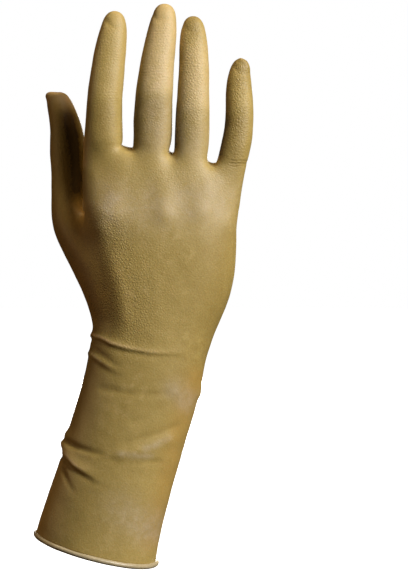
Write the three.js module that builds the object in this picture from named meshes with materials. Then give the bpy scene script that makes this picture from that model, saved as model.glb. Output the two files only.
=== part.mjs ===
// A long latex work glove for a right hand, holding the shape that it has when worn: a
// dipped film with four fingers, a thumb and a long cuff, and the rolled bead that ends the
// cuff. It is hollow and open at the cuff, where the hand goes in. The real film is one
// piece. Here it is parted by a hair at the wrist, just above the webs and round the root of
// the thumb, so that the cuff and every finger are plain open tubes.
//
// Millimetres, +Z up. The fingers point up, the back of the hand faces -Y and the thumb is
// on the -X side. The origin is the centre of the cuff's mouth.
import * as THREE from "three";

// Driving sizes
const WALL = 1.0; // the film, drawn thicker than the real 0.25 mm so that it is a sound solid
const BEAD_RADIUS = 1.5;
const BEAD_LIP_ANGLE = 58; // degrees from the film where the roll's open side begins
const BEAD_STEPS = 10; // straight sides around the roll
const GAP = 0.3; // clearance between pieces that almost touch
const EDGE_DEPTH = 0.5; // how far short of the roll's middle the film's edge ends

// The rough shape's rings, in corners
const SIDES = 18;
const FINGER_SIDES = 6;
const THUMB_SIDES = 12;

// The cuff, wrist and palm, from the mouth up. up, side and back place a section's centre.
// lean is how far its little-finger side dips and nod how far its back dips, in degrees.
// square rounds it from 2, an ellipse, up. spread is 0 where its corners are evenly spaced
// and 1 where they gather into the four fingers.
const PALM = [
  { up: 0, side: -0.3, back: 0, width: 68.4, depth: 57.0, lean: 14.4, nod: 4, square: 2, spread: 0 },
  { up: 14, side: 2.4, back: -1.0, width: 66.2, depth: 55.6, lean: 14.4, nod: 4, square: 2, spread: 0 },
  { up: 28, side: 6.5, back: -2.0, width: 64.4, depth: 54.6, lean: 14.4, nod: 4, square: 2, spread: 0 },
  { up: 38, side: 9.8, back: -2.6, width: 63.4, depth: 54.0, lean: 14.4, nod: 4, square: 2, spread: 0 },
  { up: 45, side: 11.5, back: -3.1, width: 63.2, depth: 53.4, lean: 14.4, nod: 4, square: 2, spread: 0 },
  { up: 51, side: 13.4, back: -3.5, width: 62.8, depth: 53.0, lean: 14.4, nod: 4, square: 2, spread: 0 },
  { up: 57, side: 15.2, back: -4.0, width: 63.2, depth: 52.4, lean: 14.4, nod: 4, square: 2, spread: 0 },
  { up: 66, side: 17.6, back: -4.6, width: 63.4, depth: 51.4, lean: 14.2, nod: 4, square: 2, spread: 0 },
  { up: 79, side: 21.6, back: -5.6, width: 63.6, depth: 50.0, lean: 14, nod: 4, square: 2, spread: 0 },
  { up: 92, side: 25.4, back: -6.4, width: 63.2, depth: 48.4, lean: 13.5, nod: 4, square: 2, spread: 0 },
  { up: 101, side: 27.4, back: -7, width: 62.8, depth: 47.4, lean: 13, nod: 4, square: 2.05, spread: 0.1 },
  { up: 107, side: 28.7, back: -7.4, width: 63.2, depth: 46.6, lean: 12.6, nod: 3, square: 2.1, spread: 0.2 },
  { up: 112, side: 29.5, back: -7.8, width: 63.6, depth: 45.8, lean: 12.2, nod: 3, square: 2.1, spread: 0.2 },
  { up: 118, side: 30.6, back: -8.2, width: 63.2, depth: 44.8, lean: 11.6, nod: 2, square: 2.1, spread: 0.3 },
  { up: 130, side: 32.9, back: -9.0, width: 67.8, depth: 43.2, lean: 10.4, nod: 1, square: 2.2, spread: 0.4 },
  { up: 146, side: 34.9, back: -10.2, width: 77.4, depth: 41.2, lean: 9, nod: 2, square: 2.3, spread: 0.6 },
  { up: 163, side: 35.6, back: -11.6, width: 82.0, depth: 38.4, lean: 8.6, nod: 4, square: 2.4, spread: 0.8 },
  { up: 180, side: 35.0, back: -12.8, width: 83.4, depth: 35.6, lean: 9, nod: 7, square: 2.5, spread: 0.9 },
  { up: 195, side: 35.4, back: -12.6, width: 85.2, depth: 29.8, lean: 9.6, nod: 11, square: 2.6, spread: 1 },
  { up: 209, side: 37.3, back: -12.8, width: 88.0, depth: 23.6, lean: 10.2, nod: 15, square: 2.6, spread: 1 },
];
const WRIST_ROW = 13; // the cuff ends at this row
const THUMB_FROM = 14; // the thumb grows out of the sections from this row ...
const THUMB_TO = 17; // ... to this one

// Where the corners of the top section gather, as shares of its half width: both edges of
// each finger's column, on the back and on the palm side alike.
const FINGER_EDGES = [-0.93, -0.57, -0.33, 0.03, 0.17, 0.5, 0.68, 0.96];

// How far each web between two fingers stands above the top section, from the index finger,
// and how far the top section's own corners rise where they are beside a web.
const WEB_RISES = [10, 11.8, 9];
const WEB_SHOULDER = 9.5;

// Each finger from its root to its tip: a row for each section, square to the finger.
const FINGERS = {
  index: [
    { up: 224, side: 4.6, back: -13.2, width: 21.0, depth: 20.6 },
    { up: 237, side: 5.0, back: -13.4, width: 19.0, depth: 19.4 },
    { up: 250, side: 5.8, back: -13.2, width: 18.6, depth: 18.4 },
    { up: 264, side: 7.2, back: -11.6, width: 17.6, depth: 16.6 },
    { up: 277, side: 8.9, back: -9.2, width: 16.4, depth: 15.4 },
    { up: 288, side: 10.6, back: -6.6, width: 14.4, depth: 13.2 },
    { up: 295.5, side: 11.2, back: -5.2, width: 9.8, depth: 9.2 },
  ],
  middle: [
    { up: 224, side: 31.4, back: -13.6, width: 20.4, depth: 21.0 },
    { up: 238, side: 31.8, back: -13.8, width: 20.2, depth: 19.8 },
    { up: 252, side: 32.6, back: -13.4, width: 19.4, depth: 19.0 },
    { up: 266, side: 34.0, back: -11.6, width: 17.6, depth: 16.8 },
    { up: 280, side: 36.0, back: -9.0, width: 16.6, depth: 15.6 },
    { up: 292, side: 37.7, back: -6.2, width: 14.6, depth: 13.4 },
    { up: 299.5, side: 38.4, back: -4.6, width: 10.2, depth: 9.4 },
  ],
  ring: [
    { up: 223, side: 53.3, back: -13.0, width: 18.0, depth: 19.2 },
    { up: 235, side: 53.6, back: -13.0, width: 17.6, depth: 18.2 },
    { up: 247, side: 53.9, back: -12.4, width: 17.0, depth: 17.4 },
    { up: 260, side: 54.3, back: -10.6, width: 15.6, depth: 15.8 },
    { up: 273, side: 54.3, back: -8.0, width: 15.2, depth: 14.6 },
    { up: 285, side: 54.0, back: -5.2, width: 14.0, depth: 12.8 },
    { up: 293, side: 53.8, back: -3.8, width: 9.6, depth: 9.0 },
  ],
  little: [
    { up: 216, side: 75.7, back: -12.2, width: 16.0, depth: 17.2 },
    { up: 225, side: 77.7, back: -12.0, width: 15.8, depth: 16.2 },
    { up: 235, side: 79.1, back: -11.2, width: 14.8, depth: 15.2 },
    { up: 245, side: 79.3, back: -9.6, width: 14.4, depth: 14.2 },
    { up: 254, side: 79.3, back: -7.6, width: 13.6, depth: 13.2 },
    { up: 263, side: 79.8, back: -5.8, width: 11.4, depth: 11.4 },
    { up: 269.5, side: 81.0, back: -4.8, width: 8.0, depth: 8.2 },
  ],
};

// The thumb, from the ball of the thumb to its tip, with lean and nod as in the palm.
const THUMB_ROOT_ROW = 1; // the thumb's own piece starts at this row
const THUMB = [
  { up: 173, side: -12.0, back: 5.0, width: 25.0, depth: 27.0, lean: -58, nod: -20 },
  { up: 184.5, side: -15.2, back: 10.0, width: 20.6, depth: 25.0, lean: -32, nod: -22 },
  { up: 196, side: -15.2, back: 14.0, width: 19.8, depth: 23.4, lean: -13, nod: -18 },
  { up: 209, side: -15.0, back: 17.0, width: 19.8, depth: 21.6, lean: -3, nod: -12 },
  { up: 221, side: -15.6, back: 19.0, width: 20.4, depth: 21.0, lean: -3, nod: -8 },
  { up: 234, side: -17.0, back: 20.4, width: 18.2, depth: 20.0, lean: -6, nod: -6 },
  { up: 244, side: -19.4, back: 21.2, width: 16.2, depth: 17.6, lean: -14, nod: -5 },
  { up: 251.5, side: -22.8, back: 21.8, width: 12.4, depth: 12.4, lean: -12, nod: -5 },
];

// Folds, creases and swellings of either face: a smooth ridge, or a valley where rise is
// negative, along a bent line whose places are [side, up]. It goes from rise to last.
const RELIEF = {
  back: [
    { name: "wrist fold", from: [-3, 120], bend: [8, 115], to: [45, 112], width: 3, rise: 1.3, last: 0.2 },
    { name: "wrist dip", from: [-3, 114], bend: [8, 109], to: [40, 106], width: 2.6, rise: -1.4, last: 0 },
    { name: "second fold", from: [-4, 109], bend: [4, 106], to: [12, 101], width: 2.6, rise: 1.1, last: 0.2 },
    { name: "slack ridge", from: [-19, 60], bend: [-15, 49], to: [8, 40], width: 4.2, rise: 2.4, last: 0.3 },
    { name: "upper dip", from: [-14, 63], bend: [2, 58], to: [20, 54], width: 3, rise: -1.5, last: 0 },
    { name: "lower dip", from: [-16, 48], bend: [-8, 43], to: [6, 35], width: 3, rise: -1.5, last: 0 },
    { name: "flat ridge", from: [8, 57], bend: [26, 58], to: [44, 66], width: 5, rise: 0.9, last: 0.4 },
    { name: "edge kink", from: [58, 96], bend: [59, 92], to: [58, 86], width: 4, rise: 1.4, last: 0.4 },
    { name: "index knuckle", from: [12, 185], bend: [12, 190], to: [11, 196], width: 6.5, rise: 1.8, last: 0.6 },
    { name: "middle knuckle", from: [39, 183], bend: [38, 191], to: [37, 200], width: 6.5, rise: 1.8, last: 0.6 },
    { name: "ring knuckle", from: [58, 184], bend: [59, 192], to: [58, 198], width: 6.5, rise: 1.1, last: 0.3 },
    { name: "little knuckle", from: [73, 180], bend: [74, 184], to: [75, 188], width: 6, rise: 0.7, last: 0.2 },
    { name: "first web", from: [24, 219], bend: [24, 212], to: [25, 205], width: 5, rise: -2, last: 0 },
    { name: "second web", from: [43, 219], bend: [44, 212], to: [45, 205], width: 4.5, rise: -2, last: 0 },
    { name: "third web", from: [65, 213], bend: [65, 206], to: [66, 200], width: 5, rise: -2, last: 0 },
  ],
  palm: [
    { name: "ball of thumb", from: [10, 132], bend: [4, 150], to: [-4, 168], width: 14, rise: 3, last: 2 },
    { name: "heel of hand", from: [56, 126], bend: [66, 145], to: [70, 165], width: 13, rise: 3.5, last: 1 },
    { name: "finger pads", from: [16, 200], bend: [45, 203], to: [74, 192], width: 8, rise: 2.2, last: 2.2 },
  ],
};
const RELIEF_SAMPLES = 12;
const BACK = -1;
const FRONT = 1;

const radians = THREE.MathUtils.degToRad;
const average = (list) =>
  list.reduce((sum, v) => sum.add(v), new THREE.Vector3()).divideScalar(list.length);

// How far out a ring's corners start, because smoothing pulls a ring of so many corners in.
const outset = (sides) => 3 / (2 + Math.cos((2 * Math.PI) / sides));

// A section's centre and its two directions, turned by the row's lean and nod.
function frameOf(row) {
  const lean = radians(row.lean);
  const nod = radians(row.nod);
  return {
    centre: new THREE.Vector3(row.side, row.back, row.up),
    across: new THREE.Vector3(Math.cos(lean), 0, -Math.sin(lean)),
    through: new THREE.Vector3(0, Math.cos(nod), Math.sin(nod)),
  };
}

// A point of a section, given as shares of its half width and half depth.
function place({ centre, across, through }, row, grow, u, v) {
  return centre
    .clone()
    .addScaledVector(across, (u * row.width * grow) / 2)
    .addScaledVector(through, (v * row.depth * grow) / 2);
}

// One ring around the cuff or palm. Corner 0 is on the thumb side; the next eight cross the
// back to the little-finger side, and the last eight cross the palm back again.
function palmRing(row) {
  const frame = frameOf(row);
  return Array.from({ length: SIDES }, (_, corner) => {
    const even = Math.cos(Math.PI + (2 * Math.PI * corner) / SIDES);
    if (corner % (SIDES / 2) === 0) return place(frame, row, outset(SIDES), even, 0);
    const onBack = corner < SIDES / 2;
    const column = onBack ? corner - 1 : SIDES - 1 - corner;
    const u = even + (FINGER_EDGES[column] - even) * row.spread;
    const v = (1 - Math.abs(u) ** row.square) ** (1 / row.square);
    return place(frame, row, outset(SIDES), u, (onBack ? BACK : FRONT) * v);
  });
}

// An oval ring of a finger or the thumb. Angle 0 is +X.
function stallRing(frame, row, sides, firstAngle) {
  return Array.from({ length: sides }, (_, corner) => {
    const angle = radians(firstAngle) + (2 * Math.PI * corner) / sides;
    return place(frame, row, outset(sides), Math.cos(angle), Math.sin(angle));
  });
}

// A finger's rings are square to its own line, which starts at root.
function fingerRings(rows, root) {
  const line = [root, ...rows.map((row) => new THREE.Vector3(row.side, row.back, row.up))];
  return rows.map((row, i) => {
    const ahead = line[Math.min(i + 2, rows.length)];
    const along = ahead.clone().sub(line[i]).normalize();
    const across = new THREE.Vector3(1, 0, 0).addScaledVector(along, -along.x).normalize();
    const frame = { centre: line[i + 1], across, through: along.clone().cross(across) };
    return stallRing(frame, row, FINGER_SIDES, 240);
  });
}

// The rough shape: points and four-cornered faces, wound to face outwards. Each face knows
// which piece of the glove it belongs to.
const points = [];
const faces = [];
const addPoint = (point) => points.push(point) - 1;
const addFace = (piece, ...corners) => faces.push({ piece, corners });
const centreOf = (indices) => average(indices.map((i) => points[i]));

function joinRings(piece, low, high, isLeftOpen = () => false) {
  low.forEach((_, i) => {
    const j = (i + 1) % low.length;
    if (!isLeftOpen(i)) addFace(piece, low[i], low[j], high[j], high[i]);
  });
}

// The cuff and palm, which leave a hole for the thumb: three columns by three rows.
const rings = PALM.map((row) => palmRing(row).map(addPoint));
const thumbColumns = [0, SIDES - 1, SIDES - 2];
rings.slice(1).forEach((ring, i) => {
  const piece = i < WRIST_ROW ? "cuff" : "palm_and_back";
  const hasThumb = i >= THUMB_FROM && i < THUMB_TO;
  joinRings(piece, rings[i], ring, (column) => hasThumb && thumbColumns.includes(column));
});

// The fingers and the webs between them. A finger's hexagon starts from two corners on the
// back, two on the palm and one on either side of it, on a line between back and palm.
const top = rings.at(-1);
const backEdge = top.slice(1, SIDES / 2);
const palmEdge = top.slice(SIDES / 2 + 1).reverse();
const columns = Object.keys(FINGERS).map((_, finger) => {
  const [left, right] = [finger * 2, finger * 2 + 1];
  return [backEdge[left], backEdge[right], palmEdge[right], palmEdge[left]];
});
const roots = columns.map(centreOf);
for (const corner of [...backEdge.slice(1, -1), ...palmEdge.slice(1, -1)]) {
  points[corner].z += WEB_SHOULDER;
}
let lastWeb = null;
Object.entries(FINGERS).forEach(([name, rows], finger, { length }) => {
  const corners = columns[finger];
  const root = roots[finger];
  const reach = rows[0].width / 2;
  const sidePoint = (way, rise) =>
    addPoint(root.clone().add(new THREE.Vector3(way * reach, 0, rise)));
  const near = finger === 0 ? top[0] : sidePoint(-1, WEB_RISES[finger - 1]);
  const far = finger === length - 1 ? top[SIDES / 2] : sidePoint(1, WEB_RISES[finger]);
  if (lastWeb) {
    addFace("palm_and_back", lastWeb.side, lastWeb.back, corners[0], near);
    addFace("palm_and_back", lastWeb.palm, lastWeb.side, near, corners[3]);
  }
  lastWeb = { back: corners[1], side: far, palm: corners[2] };
  let edge = [corners[0], corners[1], far, corners[2], corners[3], near];
  const piece = `${name}_finger`;
  fingerRings(rows, root).forEach((ring, i) => {
    const next = ring.map(addPoint);
    joinRings(i === 0 ? "palm_and_back" : piece, edge, next);
    edge = next;
  });
  addFace(piece, edge[5], edge[0], edge[1], edge[2]);
  addFace(piece, edge[5], edge[2], edge[3], edge[4]);
});

// The thumb grows from the edge of its hole: the top edge turns into its inner side.
const [low, midLow, midHigh, high] = rings.slice(THUMB_FROM, THUMB_TO + 1);
const across = [1, 0, SIDES - 1, SIDES - 2];
const [first, last] = [across[0], across.at(-1)];
let edge = [
  ...across.map((corner) => high[corner]),
  midHigh[last],
  midLow[last],
  ...across.map((corner) => low[corner]).reverse(),
  midLow[first],
  midHigh[first],
];
THUMB.forEach((row, i) => {
  const next = stallRing(frameOf(row), row, THUMB_SIDES, -45).map(addPoint);
  joinRings(i <= THUMB_ROOT_ROW ? "palm_and_back" : "thumb", edge, next);
  edge = next;
});
const tip = addPoint(centreOf(edge));
for (let i = 0; i < THUMB_SIDES; i += 2) {
  addFace("thumb", edge[i], edge[i + 1], edge[(i + 2) % THUMB_SIDES], tip);
}

// One round of Catmull-Clark smoothing. The mouth, whose edges have one face, stays a curve.
function smooth(oldPoints, oldFaces) {
  const keyOf = (a, b) => (a < b ? `${a},${b}` : `${b},${a}`);
  const newPoints = oldPoints.slice();
  const facePoints = oldFaces.map(({ corners }) => average(corners.map((i) => oldPoints[i])));
  const around = oldPoints.map(() => ({ faces: [], edges: [], mouth: [] }));
  const edges = new Map();
  oldFaces.forEach(({ corners }, n) =>
    corners.forEach((a, k) => {
      const b = corners[(k + 1) % corners.length];
      if (!edges.has(keyOf(a, b))) edges.set(keyOf(a, b), { ends: [a, b], faces: [] });
      edges.get(keyOf(a, b)).faces.push(facePoints[n]);
      around[a].faces.push(facePoints[n]);
    }),
  );
  for (const item of edges.values()) {
    const ends = item.ends.map((i) => oldPoints[i]);
    const middle = average(ends);
    const atMouth = item.faces.length === 1;
    item.index = newPoints.push(atMouth ? middle : average([...ends, ...item.faces])) - 1;
    for (const i of item.ends) {
      around[i].edges.push(middle);
      if (atMouth) around[i].mouth.push(middle);
    }
  }
  oldPoints.forEach((point, i) => {
    const near = around[i];
    const count = near.faces.length;
    newPoints[i] = near.mouth.length
      ? average([point, average(near.mouth)])
      : average(near.faces)
          .addScaledVector(average(near.edges), 2)
          .addScaledVector(point, count - 3)
          .divideScalar(count);
  });
  const newFaces = oldFaces.flatMap(({ piece, corners }, n) => {
    const centre = newPoints.push(facePoints[n]) - 1;
    return corners.map((corner, k) => {
      const after = edges.get(keyOf(corner, corners[(k + 1) % corners.length])).index;
      const before = edges.get(keyOf(corners.at(k - 1), corner)).index;
      return { piece, corners: [corner, after, centre, before] };
    });
  });
  return { points: newPoints, faces: newFaces };
}

function geometryOf(vertices, quads) {
  const geometry = new THREE.BufferGeometry();
  const position = new THREE.Float32BufferAttribute(vertices.flatMap((v) => v.toArray()), 3);
  geometry.setAttribute("position", position);
  geometry.setIndex(quads.flatMap(([a, b, c, d]) => [a, b, c, a, c, d]));
  geometry.computeVertexNormals();
  return geometry;
}

function normalsOf(vertices, quads) {
  const normal = geometryOf(vertices, quads).getAttribute("normal");
  return vertices.map((_, i) => new THREE.Vector3().fromBufferAttribute(normal, i));
}

// How far the folds and swellings lift one point of the skin.
const reliefLines = Object.entries(RELIEF).flatMap(([face, rows]) =>
  rows.map((row) => {
    const ends = [row.from, row.bend, row.to].map((spot) => new THREE.Vector2(...spot));
    const line = new THREE.QuadraticBezierCurve(...ends).getPoints(RELIEF_SAMPLES);
    return { ...row, line, towards: face === "back" ? BACK : FRONT };
  }),
);
function lift(point, normal) {
  const spot = new THREE.Vector2(point.x, point.z);
  return reliefLines.reduce((total, { towards, line, width, rise, last: end }) => {
    const facing = THREE.MathUtils.smoothstep(normal.y * towards, -0.3, 0.3);
    const distances = line.map((p) => p.distanceTo(spot));
    const nearest = Math.min(...distances);
    const along = distances.indexOf(nearest) / RELIEF_SAMPLES;
    const height = THREE.MathUtils.lerp(rise, end, along);
    return total + facing * height * Math.exp(-((nearest / width) ** 2));
  }, 0);
}

const skin = smooth(points, faces);
const skinQuads = skin.faces.map((face) => face.corners);
const plainNormals = normalsOf(skin.points, skinQuads);
const outer = skin.points.map((point, i) =>
  point.clone().addScaledVector(plainNormals[i], lift(point, plainNormals[i])),
);
const outward = normalsOf(outer, skinQuads);

// The edges that only one of these faces has, as pairs of corners in that face's order.
function rimOf(quads) {
  const sides = quads.flatMap((quad) => quad.map((a, k) => [a, quad[(k + 1) % quad.length]]));
  const seen = new Set(sides.map(String));
  return sides.filter(([a, b]) => !seen.has(`${b},${a}`));
}

// The mouth's corners in order around it.
const mouthSteps = new Map(rimOf(skinQuads));
const mouth = [mouthSteps.keys().next().value];
while (mouth.length < mouthSteps.size) mouth.push(mouthSteps.get(mouth.at(-1)));

// One piece of the film: an outer skin, an inner skin and the rims that join them. A rim
// beside another piece is drawn back along the skin by half the gap.
function film(name) {
  const quads = skin.faces.filter(({ piece }) => piece === name).map((face) => face.corners);
  const rim = rimOf(quads);
  const onRim = new Set(rim.flat());
  const drawBack = (corner) => {
    if (!onRim.has(corner) || mouthSteps.has(corner)) return new THREE.Vector3();
    const beside = quads
      .filter((quad) => quad.includes(corner))
      .flatMap((quad) => [quad.at(quad.indexOf(corner) - 1), quad[(quad.indexOf(corner) + 1) % 4]])
      .filter((i) => !onRim.has(i));
    const inside = average(beside.map((i) => outer[i]));
    return inside.sub(outer[corner]).setLength(GAP / 2);
  };
  const corners = [...new Set(quads.flat())];
  const outerSkin = corners.map((corner) => outer[corner].clone().add(drawBack(corner)));
  const innerSkin = outerSkin.map((point, k) =>
    point.clone().addScaledVector(outward[corners[k]], -WALL),
  );
  const out = new Map(corners.map((corner, k) => [corner, k]));
  const within = (corner) => out.get(corner) + corners.length;
  const wall = [
    ...quads.map((quad) => quad.map((corner) => out.get(corner))),
    ...quads.map((quad) => quad.map(within).reverse()),
    ...rim.map(([a, b]) => [out.get(b), out.get(a), within(a), within(b)]),
  ];
  const material = new THREE.MeshStandardMaterial({ color: "#a38b58", roughness: 0.6, metalness: 0 });
  const mesh = new THREE.Mesh(geometryOf([...outerSkin, ...innerSkin], wall), material);
  mesh.name = name;
  return mesh;
}

// The roll's section as [out from the film, up along it]: a round that is open where the
// film's edge goes in, from one lip round to the other and down into the slot.
function beadSection() {
  const lip = radians(BEAD_LIP_ANGLE);
  const sweep = 2 * Math.PI - (Math.PI - 2 * lip);
  const round = Array.from({ length: BEAD_STEPS + 1 }, (_, i) => {
    const angle = lip - (sweep * i) / BEAD_STEPS;
    return [Math.cos(angle) * BEAD_RADIUS, Math.sin(angle) * BEAD_RADIUS];
  });
  const slot = WALL / 2 + GAP;
  return [...round, [-slot, EDGE_DEPTH - GAP], [slot, EDGE_DEPTH - GAP]];
}

function bead() {
  const section = beadSection();
  const vertices = mouth.flatMap((corner, k) => {
    const [before, after] = [mouth.at(k - 1), mouth[(k + 1) % mouth.length]];
    const tangent = outer[after].clone().sub(outer[before]).normalize();
    const out = outward[corner];
    const up = out.clone().cross(tangent).normalize();
    if (up.z < 0) up.negate();
    const middle = outer[corner].clone().addScaledVector(out, -WALL / 2);
    middle.addScaledVector(up, -EDGE_DEPTH);
    return section.map(([x, y]) => middle.clone().addScaledVector(out, x).addScaledVector(up, y));
  });
  const at = (k, i) => (k % mouth.length) * section.length + (i % section.length);
  const quads = mouth.flatMap((_, k) =>
    section.map((_, i) => [at(k, i), at(k, i + 1), at(k + 1, i + 1), at(k + 1, i)]),
  );
  const material = new THREE.MeshStandardMaterial({ color: "#b09d78", roughness: 0.45, metalness: 0 });
  const mesh = new THREE.Mesh(geometryOf(vertices, quads), material);
  mesh.name = "cuff_bead";
  return mesh;
}

const glove = new THREE.Group();
const filmPieces = new Set(skin.faces.map((face) => face.piece));
glove.add(...[...filmPieces].map(film), bead());
export default glove;
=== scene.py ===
# %% [markdown]
# # A long latex work glove, modelled as a lesson
# A latex glove is made by dipping a hand-shaped former into liquid latex. What comes off
# the former is one thin film: cuff, palm, back, fingers and thumb without a seam, and a roll
# at the open end that stops it from tearing. This lesson builds that film from one ring of
# corners that is extruded upwards, row by row, from the cuff to the fingertips. Then it
# wrinkles the film, gives it a wall, rolls the bead and mixes the latex. The tables are in
# millimetres, as a glove is measured, and MM turns them into Blender's metres.

# %% Load the frame
import math
from collections import namedtuple

import bmesh
import bpy
import numpy as np
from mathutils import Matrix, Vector, noise


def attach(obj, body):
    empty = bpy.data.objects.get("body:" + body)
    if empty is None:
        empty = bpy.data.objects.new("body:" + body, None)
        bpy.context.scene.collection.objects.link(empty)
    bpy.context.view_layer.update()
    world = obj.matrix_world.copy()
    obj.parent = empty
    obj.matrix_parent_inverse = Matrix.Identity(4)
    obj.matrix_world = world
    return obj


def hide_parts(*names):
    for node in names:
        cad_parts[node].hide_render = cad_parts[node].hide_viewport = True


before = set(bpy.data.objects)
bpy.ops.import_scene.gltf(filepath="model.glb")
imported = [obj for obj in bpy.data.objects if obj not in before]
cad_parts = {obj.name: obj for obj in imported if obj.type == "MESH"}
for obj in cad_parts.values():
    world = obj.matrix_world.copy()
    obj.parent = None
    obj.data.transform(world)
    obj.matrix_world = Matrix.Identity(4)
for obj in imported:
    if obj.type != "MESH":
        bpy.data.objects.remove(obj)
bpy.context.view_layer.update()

MM = 0.001
bpy.ops.object.select_all(action="DESELECT")

# %% [markdown]
# ## The camera
# The glove is seen from its back, almost level with it, through a long lens that keeps the
# fingers from spreading. A camera can be aimed by a constraint or placed by eye. Here it is
# worked out from the height of the picture at the glove, because then a size in the picture
# is a size on the glove.

# %% Place the camera
PICTURE_HEIGHT = 0.3212  # what the picture's height covers at the glove, in metres
PICTURE_CENTRE = Vector((0.05995, -0.010, 0.14245))
CAMERA_DISTANCE = 1.3
CAMERA_ELEVATION = math.radians(2)
SENSOR = 36  # in mm, along the picture's longer side, its height

bpy.ops.object.camera_add(rotation=(math.pi / 2 - CAMERA_ELEVATION, 0, 0))
camera = bpy.context.object
camera.name = "camera"
backwards = Vector((0, -math.cos(CAMERA_ELEVATION), math.sin(CAMERA_ELEVATION)))
camera.location = PICTURE_CENTRE + backwards * CAMERA_DISTANCE
camera.data.sensor_width = SENSOR
camera.data.lens = SENSOR * CAMERA_DISTANCE / PICTURE_HEIGHT
bpy.context.scene.camera = camera
print("Lens in mm:", round(camera.data.lens, 1))

# %% [markdown]
# ## The light
# Soft light from one large panel on the upper right models the knuckles and leaves the thumb
# in the glove's own shade. A ring of equal lamps would be simpler but would flatten every
# fold. So there is one key panel, and four weak ones. Those behind and above edge the fingers
# and reach the web of the thumb, the fill on the left warms the thumb's outer side, and the
# last one lights the palm for views from behind. Each is an area lamp turned to face the
# glove.

# %% Hang the lamps
# A lamp's direction is seen from the glove. Its distance and size are in metres.
LIT_POINT = Vector((0.06, -0.01, 0.142))
Lamp = namedtuple("Lamp", "name direction distance size watts colour")
LAMPS = [
    Lamp("key", (0.66, -0.52, 0.54), 3.0, 2.0, 152, (1, 0.975, 0.94)),
    Lamp("rim", (0.25, 0.96, 0.1), 1.3, 0.4, 0.8, (1, 0.74, 0.36)),
    Lamp("top", (-0.1, 0.2, 0.97), 1.3, 0.25, 4.5, (1, 0.68, 0.32)),
    Lamp("fill", (-1, -0.02, 0), 0.65, 0.15, 0.43, (1, 0.62, 0.28)),
    Lamp("palm", (0, 1, 0.1), 3.0, 0.9, 24, (1, 0.95, 0.88)),
]
for lamp in LAMPS:
    direction = Vector(lamp.direction).normalized()
    bpy.ops.object.light_add(
        type="AREA",
        location=LIT_POINT + direction * lamp.distance,
        rotation=direction.to_track_quat("Z", "Y").to_euler(),
    )
    light = bpy.context.object
    light.name = lamp.name
    light.data.size = lamp.size
    light.data.energy = lamp.watts
    light.data.color = lamp.colour
    light.visible_camera = False
print("Lamps:", ", ".join(lamp.name for lamp in LAMPS))

# %% [markdown]
# ## World and floor
# The backdrop is plain white, and yet the shaded side of the glove stays deep. A white world
# would fill that shade, so the world is bright for the camera alone and dim as a light. The
# floor lies under the glove, pale and matt, and glows so that it meets the backdrop without
# a line. It lends the glove no light either. The Standard view leaves white as white.

# %% Whiten the backdrop
WORLD_LIGHT = 0.01
FLOOR_HEIGHT = -0.12
FLOOR_SIZE = 12
FLOOR_COLOUR = (0.9, 0.9, 0.9, 1)
WHITE = (1, 1, 1, 1)

world = bpy.data.worlds.new("studio")
bpy.context.scene.world = world
world.use_nodes = True
nodes, links = world.node_tree.nodes, world.node_tree.links
background = nodes["Background"]
path = nodes.new("ShaderNodeLightPath")
strength = nodes.new("ShaderNodeMath")
strength.operation = "MULTIPLY_ADD"
links.new(path.outputs["Is Camera Ray"], strength.inputs[0])
strength.inputs[1].default_value = 1 - WORLD_LIGHT
strength.inputs[2].default_value = WORLD_LIGHT
background.inputs["Color"].default_value = WHITE
links.new(strength.outputs[0], background.inputs["Strength"])
bpy.context.scene.view_settings.view_transform = "Standard"

bpy.ops.mesh.primitive_plane_add(size=FLOOR_SIZE, location=(0, 0, FLOOR_HEIGHT))
floor = bpy.context.object
floor.name = "floor"
floor.visible_diffuse = False
floor.visible_glossy = False
paint = bpy.data.materials.new("floor_paint")
paint.use_nodes = True
floor_shader = paint.node_tree.nodes["Principled BSDF"]
floor_shader.inputs["Base Color"].default_value = FLOOR_COLOUR
floor_shader.inputs["Roughness"].default_value = 1
floor_shader.inputs["Emission Color"].default_value = WHITE
floor_shader.inputs["Emission Strength"].default_value = 1
floor.data.materials.append(paint)
print("Floor at", FLOOR_HEIGHT, "m")

# %% [markdown]
# ## The cuff, wrist and palm
# On the former, the cuff is a plain tube that flattens and widens into the palm. It could be
# lofted from curves, but then the fingers would have to be joined on. One ring of eighteen
# corners, extruded upwards row by row, keeps a single grid of four-cornered faces from which
# the fingers and the thumb can grow as they do on the former.

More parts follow.
